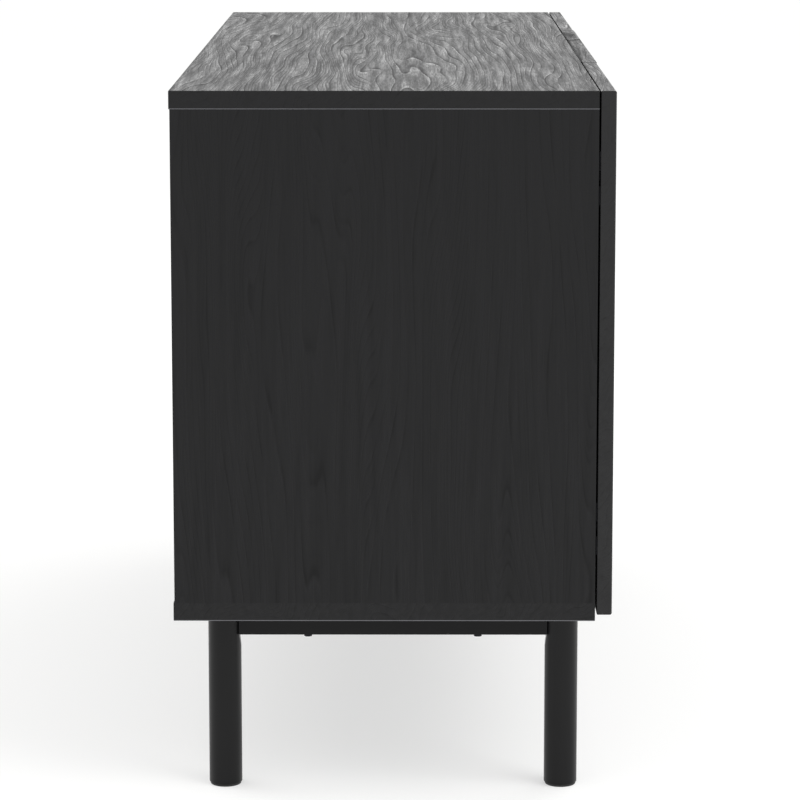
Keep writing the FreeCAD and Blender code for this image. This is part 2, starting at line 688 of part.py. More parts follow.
WALL = f"(-{DIVIDER_INNER})"
BOX_WALL = f"(-{BOX_HALF})"
OUTER_SIDES = (WALL, f"({BOX_WALL} - slide_flange_gap)")
INNER_SIDES = (BOX_WALL, f"({WALL} + slide_steel + slide_web_gap)")
CAGE_SIDES = (f"({WALL} + slide_steel + cage_inset)", f"({BOX_WALL} - cage_flange_gap)")
CAGE_START = f"({SLIDE_START} + {SLIDE_LENGTH} - cage_end - cage_length)"
SLIDE_RUN = (SLIDE_START, SLIDE_LENGTH)
outer_slide = channel("slide_outer", OUTER_SIDES, "slide_steel", "slide_outer_half", *SLIDE_RUN)
inner_slide = channel("slide_inner", INNER_SIDES, "slide_steel", "slide_inner_half", *SLIDE_RUN)
ball_cage = channel("ball_cage", CAGE_SIDES, "cage_steel", "cage_half", CAGE_START, "cage_length")


def drawer_pieces():
    """The pieces of one drawer, in a frame at the foot of its front's outer face."""
    box_wall = (f"-{BOX_HALF}", f"-({BOX_HALF} - drawer_board)")
    side_y = ("front_board", BOX_END)
    floor_z = (BOX_FLOOR, f"{BOX_FLOOR} + drawer_floor")
    floor_x = f"({BOX_HALF} - drawer_board + groove)"
    floor_y = ("front_board - groove", BOX_END)
    floor = block("drawer_floor", (f"-{floor_x}", floor_x), floor_y, floor_z)
    face = f"(-({BOX_HALF} - drawer_board))"
    middle = f"(-({BOX_HALF} - drawer_board / 2))"
    cam_at = "(front_board + cam_distance)"
    cam_room = "(drawer_cam_edge + cam_radius)"
    levels = {"low": f"({floor_z[1]} + {cam_room})", "high": f"({BOX_TOP} - {cam_room})"}
    bores, locks = [], []
    for end, level in levels.items():
        tag = f"drawer_{end}"
        spot = (face, cam_at, level, "-x")
        bores.append(rod(f"{tag}_cam_bore", "cam_radius + fit", "drawer_cam_depth", *spot))
        lock = rod(f"{tag}_cam", "cam_radius", "drawer_cam_depth - fit", *spot)
        start = "(front_board - drawer_bolt_bite)"
        length = "drawer_bolt_bite + cam_distance"
        bores.append(rod(f"{tag}_bolt_bore", "cam_bolt_radius + fit", length, middle, start, level, "y"))
        bolt = rod(f"{tag}_bolt", "cam_bolt_radius", length, middle, start, level, "y")
        locks += [cut(f"{tag}_lock", lock, [bores[-1]]), bolt]
    side = block("drawer_side_blank", box_wall, side_y, ("box_raise", BOX_TOP))
    left_side_piece = cut("drawer_left_side", side, bores + [floor])
    left_fittings = group("drawer_left_fittings", locks)
    right_bores = mirrored(group("drawer_bores", bores), "drawer_right_bores")
    inside = f"({BOX_HALF} - drawer_board)"
    back_y = (f"{BOX_END} - drawer_board", BOX_END)
    return {
        "front": drawer_front(bores + [right_bores], floor),
        "left_side": left_side_piece,
        "right_side": mirrored(left_side_piece, "drawer_right_side"),
        "back": block("drawer_back", (f"-{inside}", inside), back_y, (floor_z[1], BOX_TOP)),
        "bottom": floor,
        "slides": group("drawer_slides", [inner_slide, mirrored(inner_slide, "slide_inner_right")]),
        "fittings": group("drawer_fittings", [left_fittings, mirrored(left_fittings, "right_fittings")]),
        "ball_cages": group("drawer_cages", [ball_cage, mirrored(ball_cage, "ball_cage_right")]),
    }


def copied(source, label, level):
    """A copy of a drawer's piece, raised to its drawer's level."""
    piece = doc.addObject("Part::Compound", label)
    piece.Links = [source]
    place(piece, y=FRONT_FACE, z=level)
    return piece


# --- What is handed over ----------------------------------------------------------------------------

nodes = {"top_panel": top_panel, "bottom_panel": bottom_panel, "back_panel": back_panel}
nodes.update({rail.Name: rail for rail in rails})
left_nodes = {
    "left_side_panel": left_side,
    "left_divider": left_divider,
    "left_shelf": left_shelf,
    "front_left_leg": legs[0],
    "back_left_leg": legs[1],
    "left_leg_rail": left_leg_rail,
    "left_door": left_door,
    "left_strike_plate": left_strike,
    "left_hinge_cups": group("left_hinge_cups", hinge_cups),
    "left_hinge_pins": group("left_hinge_pins", hinge_pins),
    "left_hinge_arms": group("left_hinge_arms", hinge_arms),
}
for name, piece in left_nodes.items():
    nodes[name] = piece
    nodes[name.replace("left", "right")] = mirrored(piece, name.replace("left", "right"))
both_ends = {
    "shelf_pins": left_pins,
    "catch_magnets": [left_magnet],
    "cam_locks": side_locks + divider_locks,
    "cam_bolts": side_bolts + divider_bolts,
    "leg_bolts": left_bolts,
    "rail_screws": left_screws,
    "rail_dowels": left_dowels,
    "glides": left_glides,
}
for name, pieces in both_ends.items():
    near = group(f"left_{name}", pieces)
    nodes[name] = group(name, [near, mirrored(near, f"right_{name}")])

drawer = drawer_pieces()
outer_pair = group("outer_pair", [outer_slide, mirrored(outer_slide, "slide_outer_right")])
cabinet_slides = []
for index in DRAWERS:
    level = f"({FRONTS_BOTTOM} + {index - 1} * {DRAWER_PITCH})"
    for name, piece in drawer.items():
        nodes[f"drawer_{index}_{name}"] = copied(piece, f"drawer_{index}_{name}", level)
    cabinet_slides.append(copied(outer_pair, f"outer_slides_{index}", level))
nodes["cabinet_slides"] = group("cabinet_slides", cabinet_slides)

doc.recompute()
for item in doc.Objects:
    if "Invalid" in item.State or "Error" in item.State:
        raise RuntimeError(f"{item.Label} did not build: {item.State}")
for name, piece in nodes.items():
    piece.Label = name
    if piece.Shape.isNull() or not piece.Shape.isValid() or not piece.Shape.Solids:
        raise RuntimeError(f"{name} has no sound shape")

os.makedirs("parts", exist_ok=True)
for name, piece in nodes.items():
    piece.Shape.exportStep(f"parts/{name}.step")
    print(f"{name}: {len(piece.Shape.Solids)} solids, {piece.Shape.Volume / 1000:.1f} cm3")
print(len(nodes), "nodes")
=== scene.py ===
import json
import logging
import math
from dataclasses import dataclass
from enum import Enum

import bmesh
import bpy
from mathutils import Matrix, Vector


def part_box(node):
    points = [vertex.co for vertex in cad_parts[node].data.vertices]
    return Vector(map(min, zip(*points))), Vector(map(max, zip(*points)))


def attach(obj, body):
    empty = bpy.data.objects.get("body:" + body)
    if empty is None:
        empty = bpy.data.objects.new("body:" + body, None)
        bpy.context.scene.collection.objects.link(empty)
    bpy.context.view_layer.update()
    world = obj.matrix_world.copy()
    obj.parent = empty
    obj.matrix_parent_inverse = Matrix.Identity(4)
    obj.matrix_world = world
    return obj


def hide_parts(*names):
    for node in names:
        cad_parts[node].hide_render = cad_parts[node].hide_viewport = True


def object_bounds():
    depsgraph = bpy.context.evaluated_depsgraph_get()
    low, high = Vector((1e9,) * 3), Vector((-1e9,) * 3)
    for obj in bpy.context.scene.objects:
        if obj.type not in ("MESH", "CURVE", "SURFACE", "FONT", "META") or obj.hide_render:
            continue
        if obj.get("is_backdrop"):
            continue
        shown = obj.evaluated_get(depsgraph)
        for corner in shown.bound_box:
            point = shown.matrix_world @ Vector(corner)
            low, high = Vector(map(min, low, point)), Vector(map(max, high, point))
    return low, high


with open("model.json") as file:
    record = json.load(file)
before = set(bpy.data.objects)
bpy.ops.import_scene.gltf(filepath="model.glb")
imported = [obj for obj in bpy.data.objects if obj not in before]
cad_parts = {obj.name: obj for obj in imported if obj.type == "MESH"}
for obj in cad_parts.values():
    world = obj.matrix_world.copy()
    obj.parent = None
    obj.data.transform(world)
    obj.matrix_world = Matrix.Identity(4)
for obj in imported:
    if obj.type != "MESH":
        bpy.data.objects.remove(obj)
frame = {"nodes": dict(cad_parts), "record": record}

LOG = logging.getLogger("dresser")
MM = 0.001
SEED = 7
DRAWERS = (1, 2, 3)
SIDES = ("left", "right")

Tree = bpy.types.NodeTree
Node = bpy.types.Node
Socket = bpy.types.NodeSocket
Stops = tuple[tuple[float, float], ...]
Spot = tuple[Vector, Vector]

MATH = "ShaderNodeMath"
TIMES = {"operation": "MULTIPLY"}
TIMES_PLUS = {"operation": "MULTIPLY_ADD"}
MINUS = {"operation": "SUBTRACT"}
COLOURS = {"data_type": "RGBA"}
# The middle of a pattern, and the gloss of the plain ground between a laminate's lines.
MIDDLE = 0.5


class Grain(Enum):
    """Direction that the grain of a board runs in."""

    LENGTHWAYS = "x"
    UPRIGHT = "z"


def linear(colour: str) -> tuple[float, float, float, float]:
    """Turns an sRGB hex colour into the linear colour that a shader takes.

    Args:
        colour: Six hex digits after a hash.

    Returns:
        Red, green, blue and alpha.
    """
    parts = [int(colour[i : i + 2], 16) / 255 for i in (1, 3, 5)]
    return (*[p / 12.92 if p <= 0.04045 else ((p + 0.055) / 1.055) ** 2.4 for p in parts], 1.0)


def add_node(
    tree: Tree,
    kind: str,
    settings: dict[str, object] | None = None,
    inputs: dict[str | int, object] | None = None,
) -> Node:
    """Adds one node with its settings and its inputs.

    Args:
        tree: The shader or geometry tree.
        kind: The node's type.
        settings: Values of the node's own properties.
        inputs: For each input, a value or the output socket it is linked from.

    Returns:
        The new node.
    """
    node = tree.nodes.new(kind)
    for name, value in (settings or {}).items():
        setattr(node, name, value)
    for name, value in (inputs or {}).items():
        if isinstance(value, Socket):
            tree.links.new(value, node.inputs[name])
        else:
            node.inputs[name].default_value = value
    return node


def new_material(name: str, roughness: float) -> tuple[bpy.types.Material, Node]:
    """Starts a material with one principled shader.

    Args:
        name: The finish, as a maker would call it.
        roughness: How dull the surface is.

    Returns:
        The material and its shader.
    """
    material = bpy.data.materials.new(name)
    material.use_nodes = True
    shader = material.node_tree.nodes["Principled BSDF"]
    shader.inputs["Roughness"].default_value = roughness
    return material, shader


@dataclass(frozen=True)
class GrainLaminate:
    """Wood-grain melamine pressed onto board, with the figure embossed in register with its print.

    The print is nearly black. The pressed lines are duller or glossier than the ground between them,
    so the grain hardly shows head on and stands out at a low angle. Sizes along and across the grain
    come in pairs, in millimetres.
    """

    name: str
    grain: Grain
    dark: str = "#040405"
    light: str = "#101012"
    ior: float = 1.37
    dull: float = 0.64
    glossy: float = 0.06
    emboss_mm: float = 0.06
    offset: tuple[float, float, float] = (0.0, 0.0, 0.0)
    # A painted highlight: a paler line up from this height along the lower arris, standing in for the light
    # caught by the eased edge, and none where the height is negative.
    painted_highlight_colour: str = "#66666a"
    painted_highlight_height: float = -1.0
    painted_highlight_mm: float = 0.9
    # Growth rings: how far apart, and how far and how closely they wander.
    ring_pitch_mm: float = 10.0
    ring_swing: float = 12.0
    swell_mm: tuple[float, float] = (560.0, 84.0)
    swell_detail: float = 1.6
    swell_roughness: float = 0.4
    bunching: float = 3.5
    bunch_mm: tuple[float, float] = (392.0, 35.1)
    bold_stops: Stops = (
        (0.0, 0.5), (0.5, 0.46), (0.66, 0.3), (0.76, 0.02), (0.83, 0.7), (0.9, 0.56), (1.0, 0.5)
    )
    # Finer rings take over where the bold ones fade.
    fine_rings: float = 2.7
    fine_stops: Stops = ((0.0, 0.5), (0.55, 0.45), (0.74, 0.12), (0.86, 0.64), (1.0, 0.5))
    strong_mm: tuple[float, float] = (560.0, 46.0)
    strong_levels: tuple[float, float] = (0.38, 0.6)
    strong_least: float = 0.2
    fine_reach: float = 1.15
    # Patches where the press left less of a line.
    worn_mm: tuple[float, float] = (110.0, 6.0)
    worn_levels: tuple[float, float] = (0.36, 0.56)
    worn_share: float = 0.75
    worn_least: float = 0.3
    # Fibres in the lines and streaks in the ground.
    fibre_mm: tuple[float, float] = (26.0, 1.5)
    fibre_levels: tuple[float, float] = (0.3, 0.7)
    fibre_share: float = 0.9
    fibre_least: float = 0.55
    fibre_gloss: float = 0.25
    fibre_relief: float = 0.2
    streak_mm: tuple[float, float] = (150.0, 7.0)
    streak_levels: tuple[float, float] = (0.2, 0.8)
    streak_gloss: float = 0.5

    def cells(self, tree: Tree, place: Socket, size_mm: tuple[float, float]) -> Socket:
        """Gives a pattern's coordinates, one unit per cell.

        Args:
            tree: The material's tree.
            place: The surface point.
            size_mm: A cell's length along the grain and its width across it.

        Returns:
            The coordinates.
        """
        length, width = size_mm
        scale = tuple(1 / ((length if axis == self.grain.value else width) * MM) for axis in "xyz")
        inputs = {"Vector": place, "Scale": scale, "Location": self.offset}
        return add_node(tree, "ShaderNodeMapping", inputs=inputs).outputs[0]

    def noise(self, tree: Tree, cells: Socket, levels: tuple[float, float], detail: float) -> Socket:
        """Draws a noise stretched between two of its levels.

        Args:
            tree: The material's tree.
            cells: The pattern's coordinates.
            levels: The level that becomes 0 and the one that becomes 1.
            detail: How fine its smallest part is.

        Returns:
            The value from 0 to 1.
        """
        inputs = {"Vector": cells, "Scale": 1.0, "Detail": detail, "Roughness": 0.55}
        value = add_node(tree, "ShaderNodeTexNoise", inputs=inputs).outputs["Fac"]
        smooth = {"interpolation_type": "SMOOTHSTEP"}
        inputs = {"Value": value, "From Min": levels[0], "From Max": levels[1]}
        return add_node(tree, "ShaderNodeMapRange", smooth, inputs).outputs[0]

    def rings(self, tree: Tree, place: Socket) -> Socket:
        """Counts the growth rings up to a surface point.

        Args:
            tree: The material's tree.
            place: The surface point.

        Returns:
            The count, a whole number more at each ring.
        """
        cells = self.cells(tree, place, self.swell_mm)
        inputs = {"Vector": cells, "Scale": 1.0, "Detail": self.swell_detail}
        inputs["Roughness"] = self.swell_roughness
        swell = add_node(tree, "ShaderNodeTexNoise", inputs=inputs).outputs["Fac"]
        cells = self.cells(tree, place, self.bunch_mm)
        inputs = {"Vector": cells, "Scale": 1.0, "Detail": 1.0}
        bunch = add_node(tree, "ShaderNodeTexNoise", inputs=inputs).outputs["Fac"]
        pitch = self.ring_pitch_mm * MM
        across = tuple(0.0 if axis == self.grain.value else 1 / pitch for axis in "xyz")
        product = {"operation": "DOT_PRODUCT"}
        even = add_node(tree, "ShaderNodeVectorMath", product, {0: place, 1: across}).outputs["Value"]
        wandering = add_node(tree, MATH, TIMES_PLUS, {0: swell, 1: self.ring_swing, 2: even}).outputs[0]
        return add_node(tree, MATH, TIMES_PLUS, {0: bunch, 1: self.bunching, 2: wandering}).outputs[0]

    def lines(self, tree: Tree, rings: Socket, stops: Stops) -> Socket:
        """Draws one pair of lines in each ring.

        Args:
            tree: The material's tree.
            rings: The count of rings up to the surface point.
            stops: Places in a ring, each with its gloss.

        Returns:
            The gloss above or below that of the ground between the lines.
        """
        share = add_node(tree, MATH, {"operation": "FRACT"}, {0: rings}).outputs[0]
        ramp = add_node(tree, "ShaderNodeValToRGB", inputs={"Fac": share})
        while len(ramp.color_ramp.elements) < len(stops):
            ramp.color_ramp.elements.new(0.5)
        for element, (spot, value) in zip(ramp.color_ramp.elements, stops):
            element.position = spot
            element.color = (value, value, value, 1.0)
        return add_node(tree, MATH, MINUS, {0: ramp.outputs["Color"], 1: MIDDLE}).outputs[0]

    def figure(self, tree: Tree, place: Socket) -> Socket:
        """Draws the bold rings, fading and worn at random, and the fine ones that fill in for them.

        Args:
            tree: The material's tree.
            place: The surface point.

        Returns:
            The gloss of the lines, 0 on the ground between them.
        """
        rings = self.rings(tree, place)
        bold = self.lines(tree, rings, self.bold_stops)
        finer = add_node(tree, MATH, TIMES, {0: rings, 1: self.fine_rings}).outputs[0]
        fine = self.lines(tree, finer, self.fine_stops)
        strong = self.noise(tree, self.cells(tree, place, self.strong_mm), self.strong_levels, 1.0)
        worn = self.noise(tree, self.cells(tree, place, self.worn_mm), self.worn_levels, 2.0)
        for patch, share, least in (
            (strong, 1 - self.strong_least, self.strong_least),
            (worn, self.worn_share, self.worn_least),
        ):
            strength = add_node(tree, MATH, TIMES_PLUS, {0: patch, 1: share, 2: least}).outputs[0]
            bold = add_node(tree, MATH, TIMES, {0: bold, 1: strength}).outputs[0]
        weak = add_node(tree, MATH, MINUS, {0: self.fine_reach, 1: strong}).outputs[0]
        return add_node(tree, MATH, TIMES_PLUS, {0: fine, 1: weak, 2: bold}).outputs[0]

    def paint_arris_highlight(self, tree: Tree, place: Socket, colour: Socket) -> Socket:
        """Paints a highlight: lightens a thin line along a board's lower arris, where its eased edge catches
        the light.

        Args:
            tree: The material's tree.
            place: The surface point.
            colour: The laminate's colour.

        Returns:
            The colour with the painted highlight line.
        """
        height = add_node(tree, "ShaderNodeSeparateXYZ", inputs={"Vector": place}).outputs["Z"]
        half = self.painted_highlight_mm * MM / 2
        away = add_node(tree, MATH, MINUS, {0: height, 1: self.painted_highlight_height + half}).outputs[0]
        away = add_node(tree, MATH, {"operation": "ABSOLUTE"}, {0: away}).outputs[0]
        line = add_node(tree, MATH, {"operation": "LESS_THAN"}, {0: away, 1: half}).outputs[0]
        inputs = {"Factor": line, "A": colour, "B": linear(self.painted_highlight_colour)}
        return add_node(tree, "ShaderNodeMix", COLOURS, inputs).outputs["Result"]

    def material(self) -> bpy.types.Material:
        """Builds the material.

        Returns:
            The material, patterned on Object coordinates.
        """
        material, shader = new_material(self.name, self.dull)
        tree = material.node_tree
        place = add_node(tree, "ShaderNodeTexCoord").outputs["Object"]
        line = self.figure(tree, place)
        fibre = self.noise(tree, self.cells(tree, place, self.fibre_mm), self.fibre_levels, 3.0)
        inputs = {0: fibre, 1: self.fibre_share, 2: self.fibre_least}
        grained = add_node(tree, MATH, TIMES_PLUS, inputs).outputs[0]
        line = add_node(tree, MATH, TIMES, {0: line, 1: grained}).outputs[0]
        gloss = add_node(tree, MATH, {"operation": "ADD"}, {0: line, 1: MIDDLE}).outputs[0]
        streak = self.noise(tree, self.cells(tree, place, self.streak_mm), self.streak_levels, 4.0)
        for pattern, share in ((streak, self.streak_gloss), (fibre, self.fibre_gloss)):
            swing = add_node(tree, MATH, MINUS, {0: pattern, 1: MIDDLE}).outputs[0]
            gloss = add_node(tree, MATH, TIMES_PLUS, {0: swing, 1: share, 2: gloss}).outputs[0]
        inputs = {"Factor": gloss, "A": linear(self.dark), "B": linear(self.light)}
        colour = add_node(tree, "ShaderNodeMix", COLOURS, inputs).outputs["Result"]
        # Painted highlight: a paler line along the lower arris, standing in for light on the eased edge.
        if self.painted_highlight_height > 0:
            colour = self.paint_arris_highlight(tree, place, colour)
        tree.links.new(colour, shader.inputs["Base Color"])
        inputs = {"Value": gloss, "To Min": self.dull, "To Max": self.glossy}
        rough = add_node(tree, "ShaderNodeMapRange", inputs=inputs).outputs[0]
        tree.links.new(rough, shader.inputs["Roughness"])
        relief = add_node(tree, MATH, TIMES, {0: fibre, 1: self.fibre_relief}).outputs[0]
        inputs = {0: line, 1: 1 - self.fibre_relief, 2: relief}
        relief = add_node(tree, MATH, TIMES_PLUS, inputs).outputs[0]
        inputs = {"Strength": 1.0, "Distance": self.emboss_mm * MM, "Height": relief}
        bump = add_node(tree, "ShaderNodeBump", inputs=inputs).outputs[0]
        tree.links.new(bump, shader.inputs["Normal"])
        shader.inputs["IOR"].default_value = self.ior
        return material


@dataclass(frozen=True)
class SpeckledFinish:
    """A smooth finish with a fine even texture: lacquer, foil, moulded plastic, cast zinc or plate."""

    name: str
    colour: str
    other: str
    roughness: float
    speck_mm: float
    relief_mm: float
    metallic: float = 0.0
    stretch: tuple[float, float, float] = (1.0, 1.0, 1.0)
    roughness_spread: float = 0.06
    speck_levels: tuple[float, float] = (0.3, 0.7)
    ior: float = 1.5

    def material(self) -> bpy.types.Material:
        """Builds the material.

        Returns:
            The material, patterned on Object coordinates.
        """
        material, shader = new_material(self.name, self.roughness)
        tree = material.node_tree
        place = add_node(tree, "ShaderNodeTexCoord").outputs["Object"]
        cells = tuple(share / (self.speck_mm * MM) for share in self.stretch)
        spot = add_node(tree, "ShaderNodeMapping", inputs={"Vector": place, "Scale": cells}).outputs[0]
        inputs = {"Vector": spot, "Scale": 1.0, "Detail": 3.0, "Roughness": 0.6}
        noise = add_node(tree, "ShaderNodeTexNoise", inputs=inputs).outputs["Fac"]
        inputs = {"Factor": noise, "A": linear(self.colour), "B": linear(self.other)}
        colour = add_node(tree, "ShaderNodeMix", COLOURS, inputs).outputs["Result"]
        tree.links.new(colour, shader.inputs["Base Color"])
        low, high = self.speck_levels
        inputs = {"Value": noise, "From Min": low, "From Max": high}
        inputs["To Min"] = self.roughness - self.roughness_spread
        inputs["To Max"] = self.roughness + self.roughness_spread
        rough = add_node(tree, "ShaderNodeMapRange", inputs=inputs).outputs[0]
        tree.links.new(rough, shader.inputs["Roughness"])
        inputs = {"Strength": 1.0, "Distance": self.relief_mm * MM, "Height": noise}
        bump = add_node(tree, "ShaderNodeBump", inputs=inputs).outputs[0]
        tree.links.new(bump, shader.inputs["Normal"])
        shader.inputs["Metallic"].default_value = self.metallic
        if not self.metallic:
            shader.inputs["IOR"].default_value = self.ior
        return material


Finish = GrainLaminate | SpeckledFinish

# Melamine with a black wood figure: satin, the grain glints at a low angle. A painted highlight line runs
# along its lower arris.
TOP_FINISH = GrainLaminate(
    "black_grain_melamine_top", Grain.LENGTHWAYS, offset=(3.1, 1.7, 0.0), painted_highlight_height=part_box("top_panel")[0].z
)
# The bottom's melamine, with a painted highlight line along its lower arris.
BOTTOM_FINISH = GrainLaminate(
    "black_grain_melamine_bottom",
    Grain.LENGTHWAYS,
    offset=(1.1, 4.7, 0.0),
    painted_highlight_height=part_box("bottom_panel")[0].z,
)
# The fronts' melamine is a little shinier than the case's.
FRONT_FINISH = GrainLaminate(
    "black_grain_melamine_front", Grain.LENGTHWAYS, offset=(0.4, 2.0, 5.2), ior=1.43
)
# The ends' melamine is a little flatter.
SIDE_FINISH = GrainLaminate(
    "black_grain_melamine_side", Grain.UPRIGHT, offset=(0.0, 0.8, 1.3), ior=1.345
)
# The boards inside carry the same print, pressed nearly flat.
INNER_FINISH = GrainLaminate("black_melamine_upright", Grain.UPRIGHT, emboss_mm=0.02, glossy=0.4)
SHELF_FINISH = GrainLaminate("black_melamine_shelf", Grain.LENGTHWAYS, emboss_mm=0.02, glossy=0.4)
# Beech stained and sprayed black: satin, its pores run up the leg and along the rail.
LEG_FINISH = SpeckledFinish(
    "black_lacquered_beech_leg", "#030304", "#0c0c0d", 0.36, 2.2, 0.03, stretch=(1, 1, 0.05), ior=1.33
)
RAIL_FINISH = SpeckledFinish(
    "black_lacquered_beech_rail", "#030304", "#0c0c0d", 0.42, 2.2, 0.03, stretch=(1, 0.05, 1), ior=1.3
)
# Printed hardboard: matt and faintly mottled.
BACK_FINISH = SpeckledFinish("black_hardboard", "#111112", "#1b1b1c", 0.62, 3.0, 0.05)
# Foil-wrapped particle board: matt, almost smooth.
DRAWER_FINISH = SpeckledFinish("black_foil_board", "#141415", "#1e1e20", 0.5, 1.2, 0.015)
# Moulded plastics: a fine spark-eroded texture, drawn coarser than it is so that it shows.
GLIDE_FINISH = SpeckledFinish("black_moulded_polyethylene", "#0a0a0a", "#121212", 0.5, 0.8, 0.02)
CATCH_FINISH = SpeckledFinish("black_moulded_abs", "#0d0d0e", "#151516", 0.42, 0.8, 0.02)
BUMPER_FINISH = SpeckledFinish("black_rubber", "#0c0c0c", "#141414", 0.7, 0.5, 0.01)
# Rolled steel: the drawing marks run along the slide, under bright zinc.
SLIDE_FINISH = SpeckledFinish(
    "zinc_plated_steel", "#a3a5a7", "#c1c3c4", 0.32, 4.0, 0.01, metallic=1.0, stretch=(1, 0.04, 1)
)
# Ground and polished steel balls: small clear highlights.
BALL_FINISH = SpeckledFinish(
    "bearing_steel", "#bdbec0", "#cfd0d1", 0.14, 2.0, 0.0, metallic=1.0, roughness_spread=0.02
)
# Nickel over pressed steel: a warm, slightly soft mirror.
PLATED_FINISH = SpeckledFinish("nickel_plated_steel", "#b4b3af", "#c9c8c4", 0.24, 1.5, 0.01, metallic=1.0)
# Hinges in black nickel: a dark mirror, so nothing shines out of the gap beside a door.
HINGE_FINISH = SpeckledFinish("black_nickel_plated_steel", "#1f1f21", "#2d2d30", 0.3, 1.5, 0.01, metallic=1.0)
# Die-cast zinc: grey, dull and faintly grainy.
ZINC_FINISH = SpeckledFinish("die_cast_zinc", "#8f9194", "#a5a7a9", 0.42, 0.9, 0.02, metallic=1.0)
# Bare turned beech: pale, its pores along the dowel.
DOWEL_FINISH = SpeckledFinish("plain_beech", "#c9a477", "#b78f60", 0.6, 1.2, 0.05, stretch=(1, 0.1, 1))

SLOT_FINISHES: dict[str, Finish] = {
    "inner_laminate": INNER_FINISH,
    "back_board": BACK_FINISH,
    "front_laminate": FRONT_FINISH,
    "leg_wood": LEG_FINISH,
    "glide_plastic": GLIDE_FINISH,
    "catch_plastic": CATCH_FINISH,
    "slide_steel": SLIDE_FINISH,
    "cage_steel": SLIDE_FINISH,
    "plated_steel": PLATED_FINISH,
    "cam_zinc": ZINC_FINISH,
    "dowel_wood": DOWEL_FINISH,
    "drawer_board": DRAWER_FINISH,
    "drawer_floor": BACK_FINISH,
}
NODE_FINISHES: dict[str, Finish] = {
    "top_panel": TOP_FINISH,
    "bottom_panel": BOTTOM_FINISH,
    "rail_screws": HINGE_FINISH,
    "left_side_panel": SIDE_FINISH,
    "right_side_panel": SIDE_FINISH,
    "left_shelf": SHELF_FINISH,
    "right_shelf": SHELF_FINISH,
    "lower_drawer_rail": SHELF_FINISH,
    "upper_drawer_rail": SHELF_FINISH,
    "left_leg_rail": RAIL_FINISH,
    "right_leg_rail": RAIL_FINISH,
    **{f"{side}_hinge_{part}": HINGE_FINISH for side in SIDES for part in ("cups", "arms", "pins")},
}


class Palette:
    """Builds each finish once and hands out its material."""

    def __init__(self) -> None:
        """Starts with nothing built."""
        self.built: dict[str, bpy.types.Material] = {}

    def get(self, finish: Finish) -> bpy.types.Material:
        """Gives a finish's material, building it the first time.

        Args:
            finish: The finish.

        Returns:
            Its material.
        """
        if finish.name not in self.built:
            self.built[finish.name] = finish.material()
        return self.built[finish.name]


PALETTE = Palette()


def dress_frame() -> int:
    """Gives every CAD node its finish.

    Returns:
        How many nodes were dressed.
    """
    slots = {part["node"]: part["material_slot"] for part in frame["record"]["subparts"]}
    for name, piece in frame["nodes"].items():
        material = PALETTE.get(NODE_FINISHES.get(name) or SLOT_FINISHES[slots[name]])
        if not piece.material_slots:
            piece.data.materials.append(material)
        for slot in piece.material_slots:
            slot.material = material
    return len(frame["nodes"])


class Shape(Enum):
    """What a tree puts on each of its points."""

    SCREW = "screw"
    NAIL = "nail"
    BALL = "ball"
    BUMPER = "bumper"


